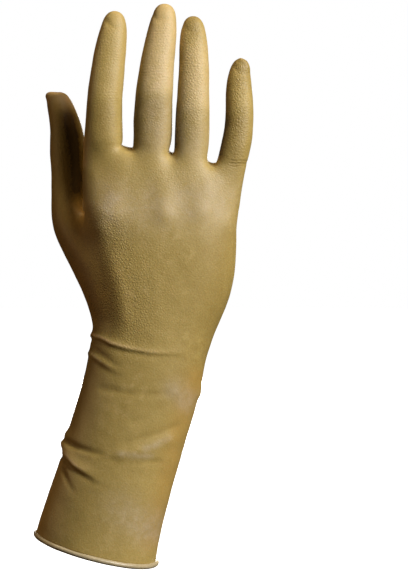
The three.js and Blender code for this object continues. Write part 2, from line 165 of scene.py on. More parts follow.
# %% Tabulate the sections of the cuff and palm
# up, side and back place a section's centre. lean is how far its little-finger side dips and
# nod how far its back dips, in degrees. square is 2 for an ellipse and more for a squarer
# section. spread is 0 where its corners are evenly spaced and 1 where they gather into the
# four fingers.
Section = namedtuple("Section", "up side back width depth lean nod square spread")
PALM = [
    Section(0, -0.3, 0, 68.4, 57.0, 14.4, 4, 2, 0),
    Section(14, 2.8, -1.0, 66.6, 55.6, 14.4, 4, 2.1, 0),
    Section(28, 7.2, -2.0, 65.0, 54.6, 14.4, 4, 2.2, 0),
    Section(38, 10.4, -2.6, 64.4, 54.0, 14.4, 4, 2.2, 0),
    Section(45, 12.1, -3.1, 64.2, 53.4, 14.4, 4, 2.2, 0),
    Section(51, 13.9, -3.5, 63.8, 53.0, 14.4, 4, 2.2, 0),
    Section(57, 15.7, -4.0, 64.2, 52.4, 14.4, 4, 2.2, 0),
    Section(66, 18.3, -4.6, 64.2, 51.4, 14.2, 4, 2.2, 0),
    Section(79, 22.4, -5.6, 63.6, 50.0, 14, 4, 2.2, 0),
    Section(92, 26.0, -6.4, 64.2, 48.4, 13.5, 4, 2.2, 0),
    Section(101, 27.7, -7, 64.1, 47.4, 13, 4, 2.2, 0.1),
    Section(107, 28.8, -7.4, 64.4, 46.6, 12.6, 3, 2.2, 0.2),
    Section(112, 29.6, -7.8, 64.2, 45.8, 12.2, 3, 2.2, 0.2),
    Section(118, 31.4, -8.2, 64.6, 44.8, 11.6, 2, 2.2, 0.3),
    Section(130, 31.8, -9.0, 70.9, 43.2, 10.4, 1, 2.2, 0.4),
    Section(146, 33.4, -10.2, 81.8, 41.2, 9, 2, 2.3, 0.6),
    Section(163, 36.1, -11.6, 82.2, 38.4, 8.6, 4, 2.4, 0.8),
    Section(180, 35.2, -12.8, 83.8, 35.6, 9, 7, 2.5, 0.9),
    Section(195, 35.2, -12.6, 85.6, 29.8, 9.6, 11, 2.6, 1),
    Section(209, 37.1, -12.8, 88.2, 23.6, 10.2, 15, 2.6, 1),
]
SIDES = 18
HALF = SIDES // 2
# Both edges of each finger's column, as shares of the top section's half width.
FINGER_EDGES = [-0.93, -0.57, -0.33, 0.03, 0.17, 0.5, 0.68, 0.96]


def outset(sides):
    """How far out a ring's corners start, because smoothing pulls them in."""
    return 3 / (2 + math.cos(2 * math.pi / sides))


def place(section, across, through, share_across, share_through, sides):
    """A point of a section, given as shares of its half width and half depth, in metres."""
    centre = Vector((section.side, section.back, section.up))
    reach = outset(sides) / 2
    across_step = across * (share_across * section.width * reach)
    through_step = through * (share_through * section.depth * reach)
    return (centre + across_step + through_step) * MM


def leaning_axes(section):
    """A section's two directions, turned by its lean and nod."""
    lean, nod = math.radians(section.lean), math.radians(section.nod)
    across = Vector((math.cos(lean), 0, -math.sin(lean)))
    return across, Vector((0, math.cos(nod), math.sin(nod)))


def palm_ring(section):
    """The ring's corners: 0 on the thumb side, 1 to 8 over the back, 10 to 17 over the palm."""
    ring = {}
    for corner in range(SIDES):
        share = math.cos(math.pi + 2 * math.pi * corner / SIDES)
        height = 0
        if corner % HALF:
            column = corner - 1 if corner < HALF else SIDES - 1 - corner
            share += (FINGER_EDGES[column] - share) * section.spread
            height = (1 - abs(share) ** section.square) ** (1 / section.square)
        towards = -1 if corner < HALF else 1
        ring[corner] = place(section, *leaning_axes(section), share, towards * height, SIDES)
    return ring


WEB_SHOULDER = 9.5  # how far the top section's corners beside a web rise


def top_ring():
    """The palm's last ring, with its corners lifted where the webs are."""
    ring = palm_ring(PALM[-1])
    lift = Vector((0, 0, WEB_SHOULDER * MM))
    for corner in range(2, HALF - 1):
        ring[corner] += lift
        ring[SIDES - corner] += lift
    return ring


print("Sections of the cuff and palm:", len(PALM))

# %% Start with a ring at the mouth
bpy.ops.mesh.primitive_circle_add(vertices=SIDES, radius=PALM[0].width * MM / 2)
film = bpy.context.object
film.name = "glove_film"
bpy.ops.object.mode_set(mode="EDIT")
bpy.ops.mesh.select_mode(type="VERT")
cage = bmesh.from_edit_mesh(film.data)
for layer in ("corner", "row"):
    cage.verts.layers.int.new(layer)
corner_layer = cage.verts.layers.int["corner"]
for number, vert in enumerate(cage.verts):
    vert[corner_layer] = number


def set_corners(places, row):
    """Moves each selected vertex to the place that its corner number has in this row."""
    mesh = bmesh.from_edit_mesh(film.data)
    corners, rows = (mesh.verts.layers.int[layer] for layer in ("corner", "row"))
    for vert in mesh.verts:
        if vert.select:
            vert.co = places[vert[corners]]
            vert[rows] = row
    bmesh.update_edit_mesh(film.data)


bpy.ops.mesh.select_all(action="SELECT")
set_corners(palm_ring(PALM[0]), 0)
print("Ring of", SIDES, "corners at the mouth")

# %% Extrude the ring up the cuff and palm
TOP_ROW = len(PALM) - 1
for row, section in enumerate(PALM[1:], start=1):
    bpy.ops.mesh.extrude_region_move()
    set_corners(top_ring() if row == TOP_ROW else palm_ring(section), row)
print("Faces of the tube:", len(bmesh.from_edit_mesh(film.data).faces))

# %% [markdown]
# ## The top of the palm
# Between the fingers the film dips into webs. The open top could be closed with one big face
# and cut, but a grid of two rows of seven faces gives every finger its own pair of faces and
# every web another pair. Grid fill needs to know where the grid starts, so it gets an
# active corner and an offset.

# %% Fill the top with a grid
GRID_ROWS = 2
GRID_OFFSET = 7  # how far round from the active corner the grid starts
BETWEEN = 100  # a corner on the line between back and palm is numbered from here


def vertex_numbers(mesh, layer):
    """Each vertex's number in one of the two integer layers."""
    numbers = mesh.verts.layers.int[layer]
    return {vert: vert[numbers] for vert in mesh.verts}


cage = bmesh.from_edit_mesh(film.data)
corner_of = vertex_numbers(cage, "corner")
first = next(vert for vert in cage.verts if vert.select and corner_of[vert] == 1)
cage.select_history.clear()
cage.select_history.add(first)
old_count = len(cage.verts)
bpy.ops.mesh.fill_grid(span=GRID_ROWS, offset=GRID_OFFSET)

cage = bmesh.from_edit_mesh(film.data)
corner_layer, row_layer = (cage.verts.layers.int[layer] for layer in ("corner", "row"))
for vert in list(cage.verts)[old_count:]:
    ends = [edge.other_vert(vert) for edge in vert.link_edges]
    old_numbers = [end[corner_layer] for end in ends if end.index < old_count]
    vert[corner_layer] = BETWEEN + min(number for number in old_numbers if 0 < number < HALF)
    vert[row_layer] = TOP_ROW
print("Corners between back and palm:", len(cage.verts) - old_count)

# %% [markdown]
# ## Four fingers
# Each finger of the former is a slightly bent cone with a round tip. Fingers could be made
# apart and joined by a boolean, but that leaves a hard line where the real film flows on.
# Here both faces of a finger's pair are extruded together, seven times, and each new ring is
# turned square to the finger's own bent line.

# %% Tabulate the fingers
# A finger's sections run from its root to its tip. Each is square to the finger.
Joint = namedtuple("Joint", "up side back width depth")
FINGERS = {
    "index": [
        Joint(224, 5.0, -13.2, 22.0, 20.6),
        Joint(237, 5.2, -13.4, 19.8, 19.6),
        Joint(250, 5.6, -13.2, 19.5, 18.6),
        Joint(264, 7.2, -11.6, 18.4, 16.8),
        Joint(277, 8.9, -9.2, 16.9, 15.4),
        Joint(288, 10.6, -6.6, 14.6, 13.4),
        Joint(296.7, 11.2, -4.8, 9.8, 9.4),
    ],
    "middle": [
        Joint(224, 32.0, -13.6, 21.2, 21.0),
        Joint(238, 31.9, -13.8, 21.2, 20.0),
        Joint(252, 32.6, -13.4, 20.4, 19.0),
        Joint(266, 34.2, -11.6, 18.6, 17.0),
        Joint(280, 36.1, -9.0, 17.2, 15.6),
        Joint(292, 38.1, -6.2, 14.8, 13.4),
        Joint(300.9, 38.8, -4.4, 9.8, 9.4),
    ],
    "ring": [
        Joint(223, 53.4, -13.0, 19.2, 19.4),
        Joint(235, 53.6, -13.0, 18.8, 18.4),
        Joint(247, 53.9, -12.4, 18.0, 17.4),
        Joint(260, 54.4, -10.6, 16.7, 15.8),
        Joint(273, 54.4, -8.0, 16.3, 14.6),
        Joint(285, 54.0, -5.2, 14.6, 12.8),
        Joint(294.2, 53.8, -3.6, 9.4, 9.0),
    ],
    "little": [
        Joint(216, 75.8, -12.2, 16.2, 17.4),
        Joint(225, 78.1, -12.0, 16.4, 16.4),
        Joint(235, 79.4, -11.2, 15.7, 15.2),
        Joint(245, 79.4, -9.6, 14.9, 14.2),
        Joint(254, 79.1, -7.6, 14.4, 13.2),
        Joint(263, 79.5, -5.8, 12.2, 11.4),
        Joint(270.8, 81.0, -4.8, 8.0, 8.2),
    ],
}
print("Sections of each finger:", {name: len(rows) for name, rows in FINGERS.items()})


# %% Find a finger's six corners and its root
def finger_corners(finger):
    """From the near side of the back, round by the far side, the palm and the near side."""
    back = [1 + 2 * finger, 2 + 2 * finger]
    palm = [SIDES - corner for corner in reversed(back)]
    near = 0 if finger == 0 else BETWEEN + back[0]
    far = HALF if finger == len(FINGERS) - 1 else BETWEEN + back[1]
    return [*back, far, *palm, near]


def finger_root(finger):
    """The middle of the finger's two faces, before the webs are raised."""
    back_near, back_far, _, palm_far, palm_near, _ = finger_corners(finger)
    ring = palm_ring(PALM[-1])
    corners = [ring[number] for number in (back_near, back_far, palm_far, palm_near)]
    return sum(corners, Vector()) / len(corners)


print("Corners of the index finger:", finger_corners(0))

# %% Raise the webs
WEB_RISES = [8.1, 10.7, 7.4]  # how far each web stands above the top section
WEB_FORWARD = 3  # how far it is pulled towards the back

cage = bmesh.from_edit_mesh(film.data)
corner_of = vertex_numbers(cage, "corner")
for finger, name in enumerate(FINGERS):
    reach = FINGERS[name][0].width * MM / 2
    *_, far, _, _, near = finger_corners(finger)
    rises = [(near, -reach, WEB_RISES[finger - 1])] if finger else []
    if finger < len(WEB_RISES):
        rises.append((far, reach, WEB_RISES[finger]))
    for number, step, rise in rises:
        vert = next(vert for vert in cage.verts if corner_of[vert] == number)
        vert.co = finger_root(finger) + Vector((step, -WEB_FORWARD * MM, rise * MM))
bmesh.update_edit_mesh(film.data)
print("Webs raised by", WEB_RISES, "mm")

# %% Shape a finger's rings
FLATNESS = 1.2  # how much broader than an oval a finger's back and palm are
TUCK = (1 - FLATNESS) / 4  # the two corners at its sides come in a little for that
AT_SIDE = 0.9  # a corner further out than this share of the half width is at a side


def oval(section, across, through, sides, first_angle):
    """An oval ring of a finger or the thumb. Angle 0 is on the far side."""
    angles = [math.radians(first_angle) + 2 * math.pi * i / sides for i in range(sides)]
    return [place(section, across, through, math.cos(a), math.sin(a), sides) for a in angles]


def flattened_oval(section, across, through, sides, first_angle):
    """A finger's ring: the corners on its back and palm move out, the two at its sides in."""
    ring = oval(section, across, through, sides, first_angle)
    half_width = section.width * MM * outset(sides) / 2
    centre = sum(ring, Vector()) / sides
    for spot in ring:
        out = (spot - centre).dot(across)
        share = TUCK if abs(out) > AT_SIDE * half_width else FLATNESS - 1
        spot += across * out * share
    return ring


def finger_axes(rows, root, index):
    """Two directions square to the finger's line at one of its sections."""
    line = [root / MM, *(Vector((row.side, row.back, row.up)) for row in rows)]
    along = (line[min(index + 2, len(rows))] - line[index]).normalized()
    across = (Vector((1, 0, 0)) - along * along.x).normalized()
    return across, along.cross(across)


print("A finger's back and palm are", FLATNESS, "times as broad as an oval's")


# %% Extrude the fingers
def select_faces(belongs):
    """Selects the faces of the cage whose corners all pass the test, and nothing else."""
    bpy.ops.mesh.select_all(action="DESELECT")
    bpy.ops.mesh.select_mode(type="FACE")
    mesh = bmesh.from_edit_mesh(film.data)
    corners, rows = vertex_numbers(mesh, "corner"), vertex_numbers(mesh, "row")
    for face in mesh.faces:
        face.select_set(all(belongs(corners[vert], rows[vert]) for vert in face.verts))
    bmesh.update_edit_mesh(film.data)
    count = sum(face.select for face in mesh.faces)
    bpy.ops.mesh.select_mode(type="VERT")
    return count


FINGER_START = 240  # the angle of a finger's first corner, on the near side of its back

for finger, (name, rows) in enumerate(FINGERS.items()):
    corners = finger_corners(finger)
    pair = select_faces(lambda corner, row: corner in corners and row == TOP_ROW)
    for index, section in enumerate(rows):
        bpy.ops.mesh.extrude_region_move()
        axes = finger_axes(rows, finger_root(finger), index)
        ring = flattened_oval(section, *axes, len(corners), FINGER_START)
        set_corners(dict(zip(corners, ring)), TOP_ROW + 1 + index)
    print(name, "finger grown from", pair, "faces")

# %% [markdown]
# ## The thumb
# The thumb grows out of the side of the palm, and its root is the broad ball of the thumb.
# A finger's two faces would be too few for it, so a patch of three by three faces is
# extruded. Its twelve outer corners go round an oval and the four inner ones stay in the
# middle, where they later form the tip.

# %% Tabulate the thumb
# Its sections run from the ball of the thumb to the tip, and lean and nod as the palm's do.
Turn = namedtuple("Turn", "up side back width depth lean nod")
THUMB = [
    Turn(173, -11.2, 5.0, 24.0, 27.0, -58, -20),
    Turn(184.5, -16.6, 10.0, 21.6, 25.0, -32, -22),
    Turn(196, -15.3, 14.0, 20.4, 23.4, -13, -18),
    Turn(209, -15.2, 17.0, 20.4, 21.6, -3, -12),
    Turn(221, -16.2, 19.0, 21.4, 21.0, -3, -8),
    Turn(234, -17.4, 20.4, 17.4, 20.0, -6, -6),
    Turn(244, -20.2, 21.2, 15.2, 17.6, -14, -5),
    Turn(252.4, -23.2, 21.8, 12.4, 12.4, -10, -5),
]
print("Sections of the thumb:", len(THUMB))

# %% Number the patch that it grows from
THUMB_FROM, THUMB_TO = 14, 17  # the rows of the palm that it grows out of
THUMB_COLUMNS = [1, 0, SIDES - 1, SIDES - 2]
THUMB_NUMBERS = 200  # the thumb's corners are numbered from here
INNER = 1 / 3  # how far out the inner corners are, as a share of the half width

low, mid_low, mid_high, high = range(THUMB_FROM, THUMB_TO + 1)
start, inner_start, inner_end, end = THUMB_COLUMNS
thumb_order = [
    *((high, corner) for corner in THUMB_COLUMNS),
    (mid_high, end),
    (mid_low, end),
    *((low, corner) for corner in reversed(THUMB_COLUMNS)),
    (mid_low, start),
    (mid_high, start),
]
thumb_inner = {
    (mid_high, inner_start): (INNER, -INNER),
    (mid_high, inner_end): (INNER, INNER),
    (mid_low, inner_start): (-INNER, -INNER),
    (mid_low, inner_end): (-INNER, INNER),
}
patch = select_faces(lambda corner, row: corner in THUMB_COLUMNS and low <= row <= high)
cage = bmesh.from_edit_mesh(film.data)
corner_layer, row_layer = (cage.verts.layers.int[layer] for layer in ("corner", "row"))
thumb_places = [*thumb_order, *thumb_inner]
for vert in cage.verts:
    if vert.select:
        number = thumb_places.index((vert[row_layer], vert[corner_layer]))
        vert[corner_layer] = THUMB_NUMBERS + number
print("Faces of the patch:", patch)

# %% Extrude the thumb
THUMB_START = -45  # the angle of its first corner

sides = len(thumb_order)
for index, section in enumerate(THUMB):
    bpy.ops.mesh.extrude_region_move()
    axes = leaning_axes(section)
    ring = oval(section, *axes, sides, THUMB_START)
    ring += [place(section, *axes, *shares, sides) for shares in thumb_inner.values()]
    numbered = {THUMB_NUMBERS + i: spot for i, spot in enumerate(ring)}
    set_corners(numbered, TOP_ROW + 1 + index)
bpy.ops.object.mode_set(mode="OBJECT")
print("Faces of the cage:", len(film.data.polygons))

# %% Smooth the cage
SMOOTH_LEVELS = 3

smoothing = film.modifiers.new("smooth", "SUBSURF")
smoothing.levels = smoothing.render_levels = SMOOTH_LEVELS
bpy.ops.object.modifier_apply(modifier=smoothing.name)
bpy.ops.object.mode_set(mode="EDIT")
bpy.ops.mesh.select_all(action="SELECT")
bpy.ops.mesh.normals_make_consistent(inside=False)
bpy.ops.object.mode_set(mode="OBJECT")
bpy.ops.object.shade_smooth()
print("Faces of the smooth film:", len(film.data.polygons))

# %% [markdown]
# ## Knuckles, folds and creases
# A worn film shows knuckles, the ball of the thumb and a ridge below the index finger. Where
# it is slack, round the wrist and the cuff, it stands in folds that are steep on one side.
# Sculpting them by hand can't be repeated, and a bump map leaves the outline smooth. So each
# is a row of a table: a line on the glove, how far it reaches above and below that line, and
# how high it rises at its start and at its end.

# %% Tabulate the folds
# A line's places are (side, up). A fold on the back or palm fades out where the film turns
# away, one that wraps goes on round the edge, and one on both goes all the way round.
Fold = namedtuple("Fold", "name face above below rise last line")
FOLDS = [
    Fold("index ridge", "back", 5.5, 5.5, 0.9, 0.3, [(5, 184), (5, 172), (10, 156), (15, 140), (17, 128)]),
    Fold("hollow beside it", "back", 7, 7, -0.8, -1.2, [(-3, 172), (1, 158), (5, 142), (7, 128)]),
    Fold("index knuckle", "back", 6.5, 6.5, 1.3, 0.6, [(10, 187), (10, 193), (9, 199)]),
    Fold("middle knuckle", "back", 6.5, 6.5, 1.6, 0.5, [(38.5, 187), (38, 194), (36, 208)]),
    Fold("ring knuckle", "back", 6.5, 6.5, 1.0, 0.3, [(58, 187), (59, 194), (58, 200)]),
    Fold("little knuckle", "back", 6, 6, 0.7, 0.2, [(73, 180), (75, 188)]),
    Fold("first web", "back", 5, 5, -0.6, 0, [(24, 219), (25, 205)]),
    Fold("second web", "back", 4.5, 4.5, -0.5, 0, [(43, 219), (45, 205)]),
    Fold("third web", "back", 5, 5, -0.6, 0, [(65, 213), (66, 200)]),
    Fold("edge beside the index knuckle", "back", 5, 5, 0.7, 1.1, [(-0.5, 206), (1, 192), (3, 178)]),
    Fold("wrist fold", "wrap", 2.4, 1.0, 0.85, 0.15,
         [(-2.5, 118), (3.3, 117.7), (9.4, 114.9), (16.5, 112.9), (22.6, 111.8), (31.4, 110.4),
          (46, 109.6)]),
    Fold("dip below it", "wrap", 1.1, 2.2, -0.35, -0.1,
         [(-2, 116.4), (3.3, 115.9), (9.4, 112.9), (16.5, 110.9), (22.6, 109.8), (31.4, 108.4), (44, 108)]),
    Fold("second fold", "wrap", 1.7, 1.3, 1.0, 0.1,
         [(-2.5, 108.2), (0.5, 107), (4.4, 104.8), (7.7, 102.6), (12, 100.4)]),
    Fold("dip above it", "back", 2.1, 1.3, -0.5, -0.1, [(1, 110.8), (5.5, 107.6), (9.8, 104.8), (14, 102.5)]),
    Fold("dip under it", "back", 1.1, 2, -0.4, 0, [(4, 102.2), (7.7, 100.2), (10.5, 98.7), (16.5, 96)]),
    Fold("faint crease", "back", 1.4, 2, -0.5, -0.25, [(4.4, 90.8), (19.3, 88.3), (31.4, 87.7), (40.2, 88)]),
    Fold("slack ridge", "wrap", 3.6, 1.5, 2.6, 0,
         [(-18.5, 63), (-17.4, 59), (-15.4, 53.2), (-11, 48.4), (-2.8, 44), (3.3, 41.2)]),
    Fold("dip above slack", "wrap", 2, 1.6, -1.5, 0,
         [(-15.5, 60.3), (-10.5, 58), (-1.4, 55.8), (7.7, 54.2)]),
    Fold("dip under slack", "wrap", 1.1, 1.7, -1, 0,
         [(-18.5, 51.5), (-11.8, 46.3), (-5.5, 42.6), (-1.1, 39.8), (8, 36.5)]),
    Fold("low wedge", "back", 1.2, 1.2, -1.2, -0.2, [(-17.5, 45), (-15, 40), (-11.5, 34)]),
    Fold("flat ridge", "back", 3, 4, 0.5, 0.6, [(14, 55.5), (27, 57), (40, 62.5)]),
    Fold("line above flat", "back", 1.6, 1.6, -0.25, -0.45, [(17, 61.5), (31.9, 65.5), (45, 70)]),
    Fold("line under flat", "back", 1.5, 2.4, -0.1, -0.35, [(8, 52), (24, 50.8), (36, 50.5)]),
    Fold("slanting dip", "back", 3, 2, -0.35, -0.15, [(22, 72), (32, 76), (44, 84)]),
    Fold("edge kink", "wrap", 4, 2, 0.5, 0.8, [(58.6, 89.5), (57.8, 85.5)]),
    Fold("little root crease", "back", 0.8, 0.9, -0.7, -0.4, [(83.5, 213.2), (77.4, 212.6), (75.1, 211.9)]),
    Fold("its upper end", "back", 0.8, 0.8, -0.5, -0.2, [(75.9, 214.2), (71, 211.8)]),
    Fold("its lower end", "back", 0.8, 0.8, -0.5, -0.2, [(79.2, 211.4), (75.4, 209.9)]),
    Fold("thumbnail's edge", "both", 2, 2, 2.1, 0.7, [(-27.8, 252.2), (-21.5, 252.6)]),
    Fold("index nail's root", "back", 1.3, 1.1, -0.45, -0.2, [(6.5, 291), (9, 287.8), (14, 287.5)]),
    Fold("middle nail's root", "back", 1.3, 1.1, -0.4, -0.25, [(31.5, 295), (34, 291.8), (41, 292.3)]),
    Fold("ring nail's root", "back", 1.3, 1.1, -0.3, -0.2, [(48, 289), (51, 285.5), (57, 285.5)]),
    Fold("little nail's edge", "back", 1, 1, 0.6, 0.4, [(80, 270), (83, 268.5), (84.5, 265)]),
    Fold("little nail's root", "back", 1.2, 1, -0.4, -0.2, [(76.5, 266), (79, 262.5), (84, 262.5)]),
    Fold("ball of thumb", "palm", 14, 14, 3, 2, [(10, 132), (5, 150), (-4, 168)]),
    Fold("heel of the palm", "palm", 16, 16, 1.5, 1.5, [(58, 134), (64, 150), (68, 168)]),
    Fold("finger pads", "palm", 11, 11, 1.4, 1.4, [(16, 200), (45, 203), (74, 192)]),
]
# For each face, its direction along Y, and how far the film's normal points that way where a
# fold starts and where it is full.
FACING = {
    "back": (-1, -0.3, 0.3),
    "palm": (1, -0.3, 0.3),
    "wrap": (-1, -0.9, -0.2),
    "both": (1, -3, -2),
}
print("Folds and swellings:", len(FOLDS))


# %% Lift the film along the folds
def along_line(spots, line):
    """Each spot's distance above the line, or below it if negative, and its share along it."""
    best = np.full(len(spots), np.inf)
    above = np.zeros(len(spots))
    share = np.zeros(len(spots))
    line = np.array(line, dtype=float)
    lengths = np.linalg.norm(np.diff(line, axis=0), axis=1)
    for index, (begin, end) in enumerate(zip(line[:-1], line[1:])):
        step = end - begin
        t = np.clip((spots - begin) @ step / (step @ step), 0, 1)
        offset = spots - begin - t[:, None] * step
        distance = np.linalg.norm(offset, axis=1)
        nearer = distance < best
        best[nearer] = distance[nearer]
        side = np.sign(offset[:, 1] * step[0] - offset[:, 0] * step[1])
        above[nearer] = (side * distance)[nearer]
        share[nearer] = ((lengths[:index].sum() + t * lengths[index]) / lengths.sum())[nearer]
    return above, share


def smoothstep(values, low, high):
    """0 below low, 1 above high and a smooth rise from one to the other."""
    t = np.clip((values - low) / (high - low), 0, 1)
    return t * t * (3 - 2 * t)


def vectors_of(collection, attribute):
    """A vector of each vertex, as the rows of an array."""
    flat = np.empty(len(collection) * 3, dtype=np.float32)
    collection.foreach_get(attribute, flat)
    return flat.reshape(-1, 3).astype(float)


def added_by(row, first, above_reach, below_reach):
    """What a row of a table adds at each vertex: first at its line's start, row.last at its end."""
    above, share = along_line(spots[:, [0, 2]], row.line)
    reach = np.where(above > 0, above_reach, below_reach)
    towards, low, high = FACING[row.face]
    strength = smoothstep(normals[:, 1] * towards, low, high) * np.exp(-((above / reach) ** 2))
    return (first + (row.last - first) * share) * strength


spots = vectors_of(film.data.vertices, "co") / MM
normals = vectors_of(film.data.vertex_normals, "vector")
lift = np.zeros(len(spots))
for fold in FOLDS:
    lift += added_by(fold, fold.rise, fold.above, fold.below)
print("Highest fold and deepest dip in mm:", round(lift.max(), 2), round(lift.min(), 2))

# %% [markdown]
# ## A dipped film is never quite even
# Latex runs down the former while it dries and leaves soft swells under a millimetre high.
# A displacement texture would do it. Two sizes of Perlin noise, added to the lift of the
# folds, need no texture and keep to the film's own normals.

# %% Add soft swells and move the film
SWELLS = [(16, 0.28), (6, 0.12)]  # how wide and how high, in mm

for width, height in SWELLS:
    lift += [height * noise.noise(Vector(spot) / width) for spot in spots]
moved = spots + normals * lift[:, None]
film.data.vertices.foreach_set("co", (moved * MM).astype(np.float32).ravel())
film.data.update()
print("Vertices moved:", len(moved))

# %% [markdown]
# ## Where the latex looks different
# Over a bent joint the film is stretched and turns paler, and there the part that faces the
# lamps is also painted lighter, as painted light. Along the ridge of a fold a pale line is partly
# stretched film and partly a painted highlight. Where one finger faces the next, inside the
# thumb, on the ball of the thumb, in the creases and at some finger tips and roots the colour
# is darkened as painted shade. The knuckles, the thumb side of the back and of the cuff, the
# outer side of the index and the thumb's flank, web and tip are painted lighter as painted
# light. Powder has dusted parts of the cuff, and the same pale colour on the knuckles and
# fingers is a painted highlight. Warm light is painted onto both sides of the glove. On the
# thumb side of the back the film is pebbled like leather, and across the finger joints it has
# fine cross lines. Painting these by hand can't be repeated, so each is a row of a table
# again, written to the mesh as an attribute that the material reads.

